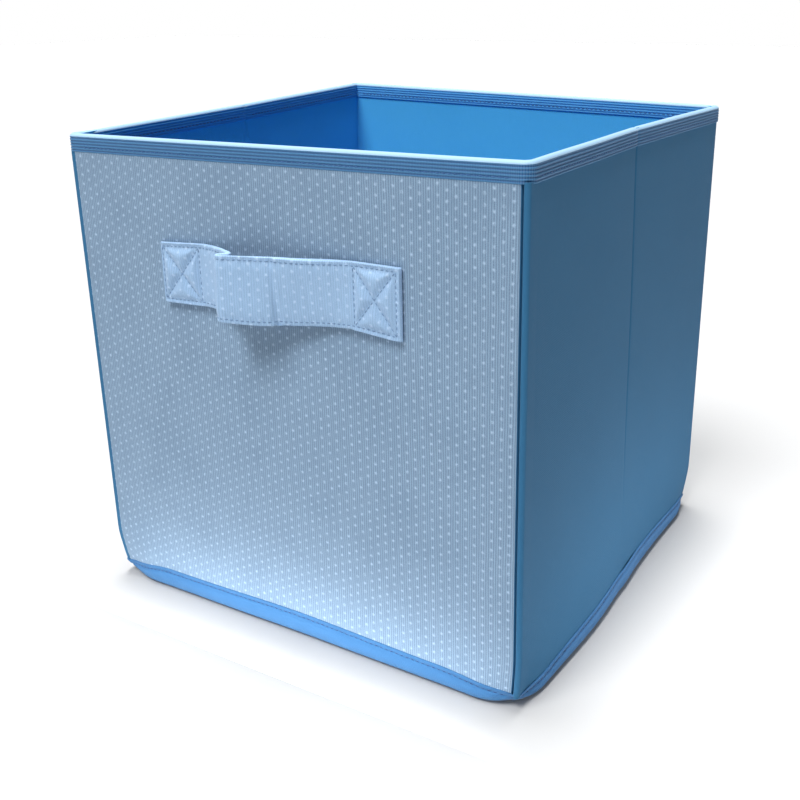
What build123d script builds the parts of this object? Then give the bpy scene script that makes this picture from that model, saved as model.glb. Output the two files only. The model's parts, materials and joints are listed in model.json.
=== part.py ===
from build123d import *
import os

# Collapsible fabric storage bin: six covered cardboard wall panels that fold flat, a soft bottom tray,
# a lift-up base panel and one sewn strap handle. Millimetres, +Z up, the front faces -Y, and the origin
# is at the middle of the underside.

# Driving dimensions
WIDTH = 280.0
DEPTH = 270.0
HEIGHT = 280.0
BOARD = 2.0                  # cardboard stiffener
SKIN = 0.4                   # cover and lining fabric
TAPE = 0.5                   # binding tape on the rim
TAPE_DROP = 10.0             # how far the tape reaches down each side of the rim
CLEARANCE = 0.3              # between pieces that move past each other
BOARD_INSET = 1.0            # the board stops this far inside its cover's edges

FLOOR_SHEET = 0.5            # bottom fabric
BAND_HEIGHT = 10.0           # the bottom fabric's upturned edge
BAND_CORNER = 20.0           # plan radius of the tray's corners
FOOT_ROUND = 1.7             # soft lower edge of the tray
BAND_JOIN = 8.0              # overlap of the band's two ends

BASE_ROOM = 4.4              # front wall's mid-plane to the front fold lines: room for the lifted base
BASE_HALF_WIDTH = 130.0
BASE_CORNER = 28.0           # plan radius of its corners, which clear the band as the panel lifts
BASE_LIFT = 0.8              # the base panel's underside above the ground
BASE_BACK_GAP = 3.1          # behind the base panel, to the back lining

DOTTED_INSET_LEFT = 2.5      # plain edge left showing beside the dotted front fabric
DOTTED_INSET_RIGHT = 2.9

STRAP_WIDTH = 35.0
STRAP = 1.8                  # folded strap fabric
STRAP_HEIGHT = 209.0         # middle of the strap above the ground
STRAP_END = 76.0             # middle of the front to each sewn end's edge
STRAP_SEWN = 48.0            # middle of the front to where the strap leaves the wall
LOOP_LEFT = -33.0            # the free loop lies between these
LOOP_RIGHT = 25.0
LOOP_NOSE_IN = (-20.0, 10.0)     # plan points of the loop: x, and distance out from the front
LOOP_NOSE_OUT = (-23.0, 18.5)
LOOP_MIDDLE = (9.0, 9.0)
LOOP_GAP = 1.0               # between the loop and each sewn end, for its swing
LOOP_ROUND = 2.4
STITCH = 0.2                 # thread standing proud of the strap
STITCH_WIDTH = 0.6
STITCH_BOX = 13.0            # half the sewn box, each way

# Worked out from those
WALL = BOARD + 2 * SKIN
RIM = WALL + 2 * TAPE
MID_X = WIDTH / 2 - TAPE - WALL / 2          # mid-planes of the walls
MID_Y = DEPTH / 2 - TAPE - WALL / 2
PIVOT = (RIM + CLEARANCE) / 2                # fold lines stand this far off the mid-planes
FRONT_FOLD_Y = -MID_Y + BASE_ROOM
BACK_FOLD_Y = MID_Y - PIVOT
CREASE_Y = (FRONT_FOLD_Y + BACK_FOLD_Y) / 2
WALL_FOOT = BAND_HEIGHT + 0.4
WALL_TOP = HEIGHT - TAPE
FRONT_FACE_Y = -MID_Y - WALL / 2 - SKIN      # outer face of the dotted fabric
STRAP_BOTTOM = STRAP_HEIGHT - STRAP_WIDTH / 2

os.makedirs("parts", exist_ok=True)


def save(name, *solids):
    """Writes one node, with each piece as a solid of its own."""
    shape = solids[0] if len(solids) == 1 else Compound(children=list(solids))
    export_step(shape, f"parts/{name}.step")


def block(x, y, z):
    """A box from its low and high limits along each axis."""
    size = [high - low for low, high in (x, y, z)]
    middle = [(high + low) / 2 for low, high in (x, y, z)]
    return Pos(*middle) * Box(*size)


def slab(across, along, z, axis):
    """A box of a wall: across its thickness, along its length, with its normal along axis."""
    return block(across, along, z) if axis == "x" else block(along, across, z)


def wall_layers(name, middle, outward, along, axis, tape_along=None):
    """Board, cover, lining and rim tape of one wall panel."""
    inset = (along[0] + BOARD_INSET, along[1] - BOARD_INSET)
    board_z = (WALL_FOOT + BOARD_INSET, WALL_TOP)
    board = slab(layer(middle, -BOARD / 2, BOARD / 2), inset, board_z, axis)
    save(f"{name}_board", board)

    skin_z = (WALL_FOOT, WALL_TOP)
    near, far = BOARD / 2, WALL / 2
    save(f"{name}_cover", slab(layer(middle, outward * near, outward * far), along, skin_z, axis))
    save(f"{name}_lining", slab(layer(middle, -outward * near, -outward * far), along, skin_z, axis))
    save(f"{name}_rim_tape", rim_tape(middle, tape_along or along, axis))


def layer(middle, one, other):
    """Limits of a layer that lies between two distances from a wall's mid-plane."""
    return (middle + min(one, other), middle + max(one, other))


def rim_tape(middle, along, axis):
    """Binding tape folded over the top edge of a wall, with a leg down each side."""
    outside = slab(layer(middle, -RIM / 2, RIM / 2), along, (HEIGHT - TAPE_DROP, HEIGHT), axis)
    inside = slab(layer(middle, -WALL / 2, WALL / 2), along, (HEIGHT - TAPE_DROP, WALL_TOP), axis)
    return outside - inside


def side_walls():
    """Each side wall is two panels with a vertical crease between them."""
    gap = CLEARANCE / 2
    for side, sign in (("left", -1), ("right", 1)):
        front_half = (FRONT_FOLD_Y, CREASE_Y - gap)
        rear_half = (CREASE_Y + gap, BACK_FOLD_Y - gap)
        wall_layers(f"{side}_front", sign * MID_X, sign, front_half, "x")
        wall_layers(f"{side}_rear", sign * MID_X, sign, rear_half, "x")


def front_and_back_walls():
    """The two panels that stay whole, with the corner seams at their ends."""
    end = WIDTH / 2 - TAPE - SKIN
    tape_along = (-WIDTH / 2, WIDTH / 2)
    wall_layers("front", -MID_Y, -1, (-end, end), "y", tape_along)
    wall_layers("back", MID_Y, 1, (-end, end), "y", tape_along)
    front_seam = (-MID_Y - WALL / 2, FRONT_FOLD_Y - CLEARANCE)
    back_seam = (MID_Y - WALL / 2, MID_Y + WALL / 2)
    seam_z = (WALL_FOOT, HEIGHT - TAPE_DROP)
    for side, x in (("left", (-end - SKIN, -end)), ("right", (end, end + SKIN))):
        save(f"front_{side}_seam", block(x, front_seam, seam_z))
        save(f"back_{side}_seam", block(x, back_seam, seam_z))


def dotted_front():
    """The patterned fabric sewn over the front wall, below the rim tape."""
    x = (-WIDTH / 2 + DOTTED_INSET_LEFT, WIDTH / 2 - DOTTED_INSET_RIGHT)
    y = (FRONT_FACE_Y, FRONT_FACE_Y + SKIN)
    save("front_dotted_panel", block(x, y, (WALL_FOOT, HEIGHT - TAPE_DROP)))


def bottom_tray():
    """Floor fabric, its upturned edge, and the join where that edge's ends overlap."""
    outer_x = WIDTH - 2 * TAPE
    outer_y = DEPTH - 2 * TAPE
    tray = extrude(RectangleRounded(outer_x, outer_y, BAND_CORNER), BAND_HEIGHT)
    tray = fillet(tray.edges().group_by(Axis.Z)[0], FOOT_ROUND)
    floor_slab = block((-WIDTH, WIDTH), (-DEPTH, DEPTH), (0, FLOOR_SHEET))
    hollow = RectangleRounded(outer_x - 2 * WALL, outer_y - 2 * WALL, BAND_CORNER - WALL)
    save("bottom_panel", tray & floor_slab)
    save("bottom_band", tray - floor_slab - extrude(hollow, BAND_HEIGHT))

    join_x = (outer_x / 2, outer_x / 2 + SKIN)
    join_y = (-BAND_JOIN / 2, BAND_JOIN / 2)
    save("bottom_band_join", block(join_x, join_y, (FOOT_ROUND, BAND_HEIGHT)))


def base_panel():
    """The stiff floor: a board in a fabric sleeve, hinged along the foot of the front wall."""
    front = base_hinge_y()
    back = MID_Y - WALL / 2 - BASE_BACK_GAP
    place = Pos(0, (front + back) / 2, BASE_LIFT)
    size = (2 * BASE_HALF_WIDTH, back - front)
    sleeve = RectangleRounded(*size, BASE_CORNER)
    board = RectangleRounded(size[0] - 2 * BOARD_INSET, size[1] - 2 * BOARD_INSET, BASE_CORNER - BOARD_INSET)
    save("base_cover_under", place * extrude(sleeve, SKIN))
    save("base_board", place * Pos(0, 0, SKIN) * extrude(board, BOARD))
    save("base_cover_top", place * Pos(0, 0, WALL - SKIN) * extrude(sleeve, SKIN))


def base_hinge_y():
    """Midway between the front lining and the face of a side panel that is folded flat."""
    lining = -MID_Y + WALL / 2
    folded = FRONT_FOLD_Y + PIVOT - WALL / 2
    return (lining + folded) / 2


def strap(points, rounding):
    """A strap standing on edge along plan points: x, and distance out from the front."""
    path = [(x, FRONT_FACE_Y - out) for x, out in points]
    line = FilletPolyline(*path, radius=rounding) if len(path) > 2 else Polyline(*path)
    section = trace(line, line_width=STRAP)
    return Pos(0, 0, STRAP_BOTTOM) * extrude(section, STRAP_WIDTH, dir=(0, 0, 1))


def along(one, other, x):
    """The plan point at x on the line between two others."""
    share = (x - one[0]) / (other[0] - one[0])
    return (x, one[1] + share * (other[1] - one[1]))


def handle():
    """One strap: two sewn ends that belong to the front wall, and the free loop between them."""
    on_wall = STRAP / 2
    left_foot = (-STRAP_SEWN, on_wall)
    right_foot = (STRAP_SEWN, on_wall)
    left_end = [(-STRAP_END, on_wall), left_foot, along(left_foot, LOOP_NOSE_IN, LOOP_LEFT - LOOP_GAP)]
    right_end = [along(LOOP_MIDDLE, right_foot, LOOP_RIGHT + LOOP_GAP), right_foot, (STRAP_END, on_wall)]
    loop = [
        along(left_foot, LOOP_NOSE_IN, LOOP_LEFT),
        LOOP_NOSE_IN,
        LOOP_NOSE_OUT,
        LOOP_MIDDLE,
        along(LOOP_MIDDLE, right_foot, LOOP_RIGHT),
    ]
    save("handle_left_end", strap(left_end, LOOP_ROUND))
    save("handle_right_end", strap(right_end, LOOP_ROUND))
    save("handle_loop", strap(loop, LOOP_ROUND))
    save("handle_stitching", stitched_box(-1), stitched_box(1))


def stitched_box(sign):
    """A square of stitching with a cross in it, on one sewn end of the strap."""
    middle = sign * (STRAP_END + STRAP_SEWN) / 2
    size = 2 * STITCH_BOX
    frame = Rectangle(size, size) - Rectangle(size - 2 * STITCH_WIDTH, size - 2 * STITCH_WIDTH)
    diagonal = Rectangle(size * 2 ** 0.5 - 2 * STITCH_WIDTH, STITCH_WIDTH)
    outline = frame + Rot(0, 0, 45) * diagonal + Rot(0, 0, -45) * diagonal
    thread = extrude(outline, STITCH)
    face_y = FRONT_FACE_Y - STRAP
    return Pos(middle, face_y, STRAP_HEIGHT) * (Rot(90, 0, 0) * thread)


front_and_back_walls()
side_walls()
dotted_front()
bottom_tray()
base_panel()
handle()
print("front fold lines", MID_X - PIVOT, FRONT_FOLD_Y)
print("creases", MID_X + PIVOT, CREASE_Y)
print("back fold lines", MID_X - PIVOT, BACK_FOLD_Y)
print("base hinge", base_hinge_y(), BASE_LIFT + WALL / 2)
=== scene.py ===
import json
import math

import bpy
import numpy as np
from mathutils import Matrix, Vector


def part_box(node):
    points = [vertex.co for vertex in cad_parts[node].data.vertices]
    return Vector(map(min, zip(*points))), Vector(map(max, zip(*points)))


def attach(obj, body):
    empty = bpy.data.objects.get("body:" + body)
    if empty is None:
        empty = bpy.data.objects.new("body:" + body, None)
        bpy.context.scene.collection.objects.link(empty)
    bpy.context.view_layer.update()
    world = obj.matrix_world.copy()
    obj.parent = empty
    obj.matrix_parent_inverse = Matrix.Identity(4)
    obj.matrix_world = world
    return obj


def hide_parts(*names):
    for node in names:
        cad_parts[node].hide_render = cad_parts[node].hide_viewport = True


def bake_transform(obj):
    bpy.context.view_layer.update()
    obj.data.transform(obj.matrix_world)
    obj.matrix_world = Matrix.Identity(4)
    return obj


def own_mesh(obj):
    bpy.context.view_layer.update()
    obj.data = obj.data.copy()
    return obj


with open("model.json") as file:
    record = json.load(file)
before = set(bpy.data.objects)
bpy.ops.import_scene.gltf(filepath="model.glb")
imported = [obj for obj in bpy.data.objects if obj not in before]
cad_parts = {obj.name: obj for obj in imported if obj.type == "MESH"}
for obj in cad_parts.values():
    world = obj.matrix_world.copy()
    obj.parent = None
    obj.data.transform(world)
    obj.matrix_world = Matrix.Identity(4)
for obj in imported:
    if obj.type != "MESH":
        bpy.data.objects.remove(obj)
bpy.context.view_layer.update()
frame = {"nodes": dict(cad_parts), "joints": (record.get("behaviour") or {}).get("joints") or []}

MM = 0.001

# ---------------------------------------------------------------- sizes in millimetres


def low(node):
    return np.array(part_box(node)[0]) / MM


def high(node):
    return np.array(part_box(node)[1]) / MM


def axis_of(name):
    joint = next(j for j in frame["joints"] if j["name"] == name)
    return np.array(joint["pos_m"]) / MM


HEIGHT = high("front_rim_tape")[2]
TAPE_LOW = low("front_rim_tape")[2]
BOARD_TOP = high("front_board")[2]
BOARD_FOOT = low("front_board")[2]
MID_X = (low("right_rear_board")[0] + high("right_rear_board")[0]) / 2
MID_Y = (low("back_board")[1] + high("back_board")[1]) / 2
COVER_OUT = high("right_rear_cover")[0] - MID_X
LINING_IN = MID_X - low("right_rear_lining")[0]
CLOTH = 0.4                  # thickness of the cover and lining cloths
CREASE = axis_of("left_crease")[1]
BACK_PIVOT = axis_of("back_left_corner")[:2] * (-1, 1)
COVER_X = MID_X + COVER_OUT
COVER_Y = MID_Y + COVER_OUT
PANEL_FACE = low("front_dotted_panel")[1]
PANEL_LEFT = low("front_dotted_panel")[0]
PANEL_RIGHT = high("front_dotted_panel")[0]

# ---------------------------------------------------------------- shape helpers


def ease(value, start, end):
    t = np.clip((value - start) / (end - start), 0, 1)
    return t * t * (3 - 2 * t)


def spread(values, count):
    """Values along a line, the same in each of count rows."""
    return np.repeat(values[:, None], count, axis=1)


def raised(plan, z):
    """Plan points or directions with their heights."""
    return np.concatenate([plan, np.broadcast_to(z, plan.shape[:-1])[..., None]], axis=-1)


def running(points):
    """The length run at each point of a line."""
    return np.concatenate([[0], np.cumsum(np.linalg.norm(np.diff(points, axis=0), axis=1))])


def bell(value, middle, width):
    return np.exp(-((value - middle) / width) ** 2)


def rounding(share):
    """A quarter circle's rise, from 0 at an edge to 1."""
    return np.sqrt(1 - (1 - np.clip(share, 0, 1)) ** 2)


def swell(a, b, seed):
    """A smooth unevenness between -1 and 1, from two lengths in mm."""
    return (np.sin(a / 31 + 1.7 * seed + np.sin(b / 47 + seed))
            + np.sin(b / 38 - a / 83 + 2.9 * seed)
            + 0.6 * np.sin(a / 13 + b / 21 + 4.1 * seed)) / 2.6


# how far the rim's corners stand from where a true box has them: up, and along each axis
RIM_LIFT = {"front_left": -5.0, "front_right": -0.3, "back_right": -3.0, "back_left": 1.2}
RIM_SHIFT_X = {"front_left": 0.0, "front_right": -0.3, "back_right": -0.2, "back_left": 2.3}
RIM_SHIFT_Y = {"front_left": 0.3, "front_right": -0.6, "back_right": -0.2, "back_left": 1.7}
CREASE_IN = 3.8              # how far the creases are drawn in at the rim
FOOT_IN = 2.1                # how far the corners are tucked under at the foot
FOOT_BOW = {"right": 3.4, "left": 1.6}   # how far the side walls' lower parts stand out
BOW_CENTRE, BOW_HEIGHT, BOW_LENGTH = -45, 48, 60
UNEVEN = 0.35                # the cloth's own unevenness


def between_corners(values, across, back):
    front = values["front_left"] * (1 - across) + values["front_right"] * across
    rear = values["back_left"] * (1 - across) + values["back_right"] * across
    return front * (1 - back) + rear * back


def settled(points):
    """The bin as it stands: its rim a little uneven, its creases drawn in, its feet tucked under."""
    x, y, z = points[..., 0], points[..., 1], points[..., 2]
    across = np.clip(x / (2 * MID_X) + 0.5, 0, 1)
    back = np.clip(y / (2 * MID_Y) + 0.5, 0, 1)
    rise = np.clip(z / HEIGHT, 0, 1.02)
    on_side = ease(np.abs(x), 90, 134)
    on_end = ease(np.abs(y), 90, 129)
    off_corner_x = 1 - ease(np.abs(x), 105, 136)
    off_corner_y = 1 - ease(np.abs(y), 105, 131)
    middle = np.clip(1 - np.abs(y - CREASE) / 130, 0, 1)
    inward = CREASE_IN * middle * rise ** 1.3
    tucked = FOOT_IN * ease(-z, -34, -6) + FOOT_IN * 0.8 * ease(-z, -14, 0)
    tucked = tucked * ease(np.abs(x), 112, 139) * ease(np.abs(y), 107, 134)
    bow = np.where(x > 0, FOOT_BOW["right"], FOOT_BOW["left"])
    bow = bow * np.exp(-(z / BOW_HEIGHT) ** 2 - ((y - BOW_CENTRE) / BOW_LENGTH) ** 2)
    soft_x = UNEVEN * swell(y, z, 1.3) * on_side * off_corner_y
    soft_y = UNEVEN * swell(x, z, 0.4) * on_end * off_corner_x
    out = np.array(points, float)
    out[..., 0] = (x + between_corners(RIM_SHIFT_X, across, back) * rise
                   - np.sign(x) * (on_side * (inward - bow) + tucked) + soft_x)
    out[..., 1] = y + between_corners(RIM_SHIFT_Y, across, back) * rise - np.sign(y) * tucked + soft_y
    out[..., 2] = z + between_corners(RIM_LIFT, across, back) * rise
    return out


def rounded_line(corners, step=4.0):
    """A plan line through corners of (x, y, radius): its points, outward normals and running length."""
    points = [np.array(corners[0][:2], float)]

    def run_to(end):
        start = points[-1]
        length = np.linalg.norm(end - start)
        if length < 1e-6:
            return
        count = max(1, math.ceil(length / step))
        points.extend(start + (end - start) * k / count for k in range(1, count + 1))

    for before, here, after in zip(corners, corners[1:], corners[2:]):
        a, p, b = (np.array(c[:2], float) for c in (before, here, after))
        into, out_of = (p - a) / np.linalg.norm(p - a), (b - p) / np.linalg.norm(b - p)
        turn = math.atan2(into[0] * out_of[1] - into[1] * out_of[0], into @ out_of)
        radius = here[2]
        if radius <= 0 or abs(turn) < 1e-6:
            run_to(p)
            continue
        reach = radius * math.tan(abs(turn) / 2)
        start = p - into * reach
        side = np.array([-into[1], into[0]]) * np.sign(turn)
        centre = start + side * radius
        run_to(start)
        count = max(4, math.ceil(abs(turn) / math.radians(11)))
        for k in range(1, count + 1):
            angle = turn * k / count
            spoke = start - centre
            points.append(centre + np.array([
                spoke[0] * math.cos(angle) - spoke[1] * math.sin(angle),
                spoke[0] * math.sin(angle) + spoke[1] * math.cos(angle)]))
    run_to(np.array(corners[-1][:2], float))
    points = np.array(points)
    tangent = np.gradient(points, axis=0)
    tangent /= np.linalg.norm(tangent, axis=1)[:, None]
    normals = np.stack([tangent[:, 1], -tangent[:, 0]], axis=1)
    return points, normals, running(points)


def new_mesh(name, points, faces, uv, material, crisp=38):
    mesh = bpy.data.meshes.new(name)
    mesh.from_pydata((points * MM).tolist(), [], faces)
    layer = mesh.uv_layers.new(name="cloth")
    corner_vertex = np.empty(len(mesh.loops), int)
    mesh.loops.foreach_get("vertex_index", corner_vertex)
    layer.data.foreach_set("uv", (uv[corner_vertex] * MM).ravel())
    mesh.shade_smooth()
    mesh.set_sharp_from_angle(angle=math.radians(crisp))
    mesh.materials.append(material)
    mesh.validate()
    mesh.update()
    obj = bpy.data.objects.new(name, mesh)
    bpy.context.scene.collection.objects.link(obj)
    return obj


def cloth_mesh(name, outer, inner, uv, material, ring=False, crisp=38):
    """A closed sheet between two grids of points. With ring, the grid's first direction runs round."""
    rows, columns = outer.shape[:2]
    index = np.arange(rows * columns).reshape(rows, columns)
    back = index + rows * columns
    following = np.roll(index, -1, axis=0) if ring else index[1:]
    following_back = following + rows * columns
    first = index if ring else index[:-1]
    first_back = first + rows * columns

    def quads(a, b, c, d):
        return np.stack([a.ravel(), b.ravel(), c.ravel(), d.ravel()], axis=1).tolist()

    faces = quads(first[:, :-1], following[:, :-1], following[:, 1:], first[:, 1:])
    faces += quads(first_back[:, :-1], first_back[:, 1:], following_back[:, 1:], following_back[:, :-1])
    faces += quads(first[:, 0], first_back[:, 0], following_back[:, 0], following[:, 0])
    faces += quads(first[:, -1], following[:, -1], following_back[:, -1], first_back[:, -1])
    if not ring:
        faces += quads(index[0, :-1], index[0, 1:], back[0, 1:], back[0, :-1])
        faces += quads(index[-1, :-1], back[-1, :-1], back[-1, 1:], index[-1, 1:])
    points = np.concatenate([outer.reshape(-1, 3), inner.reshape(-1, 3)])
    both = np.concatenate([uv.reshape(-1, 2)] * 2)
    return new_mesh(name, points, faces, both, material, crisp)


# ---------------------------------------------------------------- materials


def srgb(red, green, blue):
    def linear(value):
        value /= 255
        return value / 12.92 if value <= 0.04045 else ((value + 0.055) / 1.055) ** 2.4
    return (linear(red), linear(green), linear(blue), 1.0)


class Finish:
    """A procedural material, with short names for its nodes."""

    def __init__(self, name, roughness=0.85, sheen=0.0, sheen_roughness=0.5, specular=0.3):
        self.material = bpy.data.materials.new(name)
        self.material.use_nodes = True
        self.nodes, self.links = self.material.node_tree.nodes, self.material.node_tree.links
        self.shader = self.nodes["Principled BSDF"]
        self.shader.inputs["Roughness"].default_value = roughness
        self.shader.inputs["Sheen Weight"].default_value = sheen
        self.shader.inputs["Sheen Roughness"].default_value = sheen_roughness
        self.shader.inputs["Specular IOR Level"].default_value = specular
        uv = self.add("ShaderNodeUVMap", {}, uv_map="cloth").outputs["UV"]
        in_mm = self.add("ShaderNodeVectorMath", {0: uv, "Scale": 1 / MM}, operation="SCALE").outputs[0]
        self.u, self.v = self.add("ShaderNodeSeparateXYZ", {0: in_mm}).outputs[:2]

    def add(self, kind, inputs, **settings):
        """A node with its settings, and what its inputs are given: a number, a colour or another socket."""
        node = self.nodes.new(kind)
        for setting, value in settings.items():
            setattr(node, setting, value)
        for key, value in inputs.items():
            if isinstance(value, bpy.types.NodeSocket):
                self.links.new(value, node.inputs[key])
            else:
                node.inputs[key].default_value = value
        return node

    def math(self, operation, *values):
        return self.add("ShaderNodeMath", dict(enumerate(values)), operation=operation).outputs[0]

    def times(self, a, b):
        return self.math("MULTIPLY", a, b)

    def plus(self, a, b):
        return self.math("ADD", a, b)

    def wave(self, angle, shape="SINE"):
        """A wave between 0 and 1."""
        return self.math("MULTIPLY_ADD", self.math(shape, angle), 0.5, 0.5)

    def step(self, value, start, end, low_value=0.0, high_value=1.0):
        inputs = dict(enumerate((value, start, end, low_value, high_value)))
        return self.add("ShaderNodeMapRange", inputs, interpolation_type="SMOOTHSTEP").outputs[0]

    def noise(self, vector, scale, detail=2.0, roughness=0.5):
        inputs = {"Vector": vector, "Scale": scale, "Detail": detail, "Roughness": roughness}
        return self.add("ShaderNodeTexNoise", inputs).outputs["Fac"]

    def mix(self, share, a, b):
        return self.add("ShaderNodeMix", {0: share, 6: a, 7: b}, data_type="RGBA").outputs[2]

    def patches(self, tone, pattern, start, end, share, colour):
        """The tone, turned by up to share towards a colour where the pattern runs from start to end."""
        return self.mix(self.step(pattern, start, end, 0.0, share), tone, srgb(*colour))

    def stretched(self, along, up, offset=0.0):
        """Noise places with their own scale along the cloth and up it, per mm."""
        places = {0: self.times(self.u, along), 1: self.times(self.v, up), 2: offset}
        return self.add("ShaderNodeCombineXYZ", places).outputs[0]

    def dots(self, column, pitch, radius, soft):
        """How much of a point lies in a staggered lattice of dots."""
        across = self.math("DIVIDE", self.u, 2 * column)
        up = self.math("DIVIDE", self.v, pitch)

        def distance(shift):
            a = self.math("FRACT", self.plus(across, shift))
            b = self.math("FRACT", self.plus(up, shift))
            a = self.times(self.math("SUBTRACT", a, 0.5), 2 * column)
            b = self.times(self.math("SUBTRACT", b, 0.5), pitch)
            return self.math("SQRT", self.plus(self.times(a, a), self.times(b, b)))

        nearest = self.math("MINIMUM", distance(0.0), distance(0.5))
        return self.step(nearest, radius - soft, radius + soft, 1.0, 0.0)

    def finish(self, colour, height, depth, strength):
        bump = self.add("ShaderNodeBump", {"Distance": depth * MM, "Strength": strength, "Height": height})
        self.links.new(colour, self.shader.inputs["Base Color"])
        self.links.new(bump.outputs[0], self.shader.inputs["Normal"])
        return self.material


def felted(name, colour, shade, sheen):
    """Spun-bonded cloth: matted fibres pressed together in a close lattice of points."""
    f = Finish(name, roughness=0.82, sheen=sheen, sheen_roughness=0.45, specular=0.25)
    fibres = f.noise(f.stretched(1.0, 1.0), 2.6, 4.0, 0.7)
    streaks = f.noise(f.stretched(0.9, 0.12, 3.0), 1.0, 3.0, 0.6)
    cloud = f.noise(f.stretched(1.0, 1.0, 7.0), 0.035, 3.0, 0.55)
    points = f.dots(0.62, 1.1, 0.26, 0.14)
    tone = f.mix(f.step(fibres, 0.3, 0.7), srgb(*shade), srgb(*colour))
    tone = f.patches(tone, streaks, 0.35, 0.75, 0.35, shade)
    tone = f.patches(tone, cloud, 0.35, 0.7, 0.3, shade)
    tone = f.mix(f.times(points, 0.22), tone, srgb(*shade))
    height = f.math("SUBTRACT", f.times(fibres, 0.8), points)
    return f.finish(tone, height, 0.12, 0.7)


def dotted(name, ground, shade, dot, ribbed=1.0):
    """Fine vertical ribs printed with a staggered lattice of small pale dots."""
    f = Finish(name, roughness=0.8, sheen=0.15, specular=0.3)
    drift = f.noise(f.stretched(0.05, 0.02), 1.0, 2.0)
    ribs = f.wave(f.math("MULTIPLY_ADD", drift, 5.0, f.times(f.u, 2 * math.pi / CLOTH_RIB)))
    slubs = f.noise(f.stretched(2.1, 0.07, 2.0), 1.0, 3.0, 0.65)
    fibres = f.noise(f.stretched(1.0, 1.0, 5.0), 2.4, 3.0, 0.6)
    cloud = f.noise(f.stretched(1.0, 1.0, 9.0), 0.03, 3.0, 0.55)
    spots = f.dots(DOT_COLUMN, DOT_PITCH, DOT_RADIUS, DOT_SOFT)
    # the printed dots are worn faint in places
    wear_and_highlight = f.step(f.noise(f.stretched(1.0, 1.0, 12.0), 0.9, 3.0, 0.6), 0.32, 0.62, 0.15, 0.9)
    tone = f.mix(f.step(ribs, 0.1, 0.8, 1.0 - ribbed), srgb(*shade), srgb(*ground))
    tone = f.patches(tone, slubs, 0.4, 0.75, 0.6, shade)
    tone = f.patches(tone, fibres, 0.42, 0.68, 0.35, dot)
    tone = f.patches(tone, cloud, 0.4, 0.75, 0.25, shade)
    tone = f.mix(f.times(spots, wear_and_highlight), tone, srgb(*dot))
    height = f.plus(f.plus(f.times(ribs, 0.8), f.times(fibres, 0.5)), f.times(spots, 0.8))
    return f.finish(tone, height, 0.14, 0.75)


def binding(name, colour, shade, wear_and_highlight, inner):
    """Woven binding tape: its ribs are in its shape, its weft shows between them; the grooves between its
    ribs are painted darker (painted shade), its fold is painted pale (painted highlight) and its inside leg
    is painted lighter (painted light).
    """
    f = Finish(name, roughness=0.66, sheen=0.12, sheen_roughness=0.35, specular=0.32)
    weft = f.wave(f.times(f.u, 2 * math.pi / WEFT_PITCH))
    grooves = f.wave(f.times(f.v, 2 * math.pi / RIB_PITCH), "COSINE")
    fibres = f.noise(f.stretched(0.5, 2.0), 1.6, 3.0, 0.6)
    # painted shade: the grooves between the ribs are painted darker than their crests
    tone = f.mix(f.step(grooves, 0.12, 0.7), srgb(*shade), srgb(*colour))
    tone = f.patches(tone, fibres, 0.4, 0.75, 0.4, shade)
    tone = f.mix(f.times(weft, 0.12), tone, srgb(*wear_and_highlight))
    # painted light: the tape's inside leg is painted lighter and bluer than its outside, for the light
    # bounced inside the bin
    tone = f.mix(f.step(f.v, -1.0, 0.0, 0.75, 0.0), tone, srgb(*inner))
    # painted highlight: the fold over the rim is painted pale, as if catching the light from above
    tone = f.mix(f.step(f.math("ABSOLUTE", f.v), 0.1, 0.9, 0.7, 0.0), tone, srgb(*wear_and_highlight))
    return f.finish(tone, f.plus(f.times(weft, 0.5), fibres), 0.08, 0.6)


def spun(name, colour, shade):
    """Sewing thread, two plies twisted together."""
    f = Finish(name, roughness=0.55, sheen=0.2, specular=0.4)
    twist = f.wave(f.times(f.plus(f.u, f.times(f.v, 0.6)), 2 * math.pi / TWIST_PITCH))
    return f.finish(f.mix(twist, srgb(*shade), srgb(*colour)), twist, 0.06, 0.6)


def pressed_board(name, colour, shade):
    """Grey-brown cardboard with long fibres and flecks."""
    f = Finish(name, roughness=0.9, specular=0.15)
    coordinates = f.nodes.new("ShaderNodeTexCoord").outputs["Object"]
    fleck = f.noise(coordinates, 900.0, 4.0, 0.65)
    cloud = f.noise(coordinates, 60.0, 3.0, 0.5)
    tone = f.mix(f.step(fleck, 0.35, 0.7), srgb(*shade), srgb(*colour))
    return f.finish(f.patches(tone, cloud, 0.4, 0.7, 0.4, shade), fleck, 0.1, 0.5)


# pitches of the weaves and of the printed dots
RIB_PITCH = 1.62
WEFT_PITCH = 0.8
TWIST_PITCH = 0.55
CLOTH_RIB = 1.33
DOT_COLUMN, DOT_PITCH, DOT_RADIUS, DOT_SOFT = 4.75, 5.2, 0.75, 0.62

# painted shade: the cover is the same blue fabric as the lining, painted darker for the shaded outside of the
# walls
COVER_CLOTH = felted("cover_cloth", (50, 110, 150), (42, 99, 138), 0.05)
# painted light: the lining is the same fabric, painted lighter for the lit inside of the bin
LINING_CLOTH = felted("lining_cloth", (84, 188, 240), (70, 172, 228), 0.05)
# painted shade: the base is the lining's fabric painted darker, against the strong light from above
BASE_CLOTH = felted("base_cloth", (54, 118, 178), (44, 104, 162), 0.05)
# painted light: the tray round the foot is the cover's fabric painted lighter, for the light on the foot
TRAY_CLOTH = felted("tray_cloth", (68, 122, 172), (56, 108, 158), 0.1)
DOTTED_CLOTH = dotted("dotted_cloth", (133, 160, 185), (98, 124, 150), (170, 194, 219))
HANDLE_CLOTH = dotted("handle_cloth", (152, 184, 217), (128, 158, 191), (182, 208, 236), ribbed=0.5)
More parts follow.
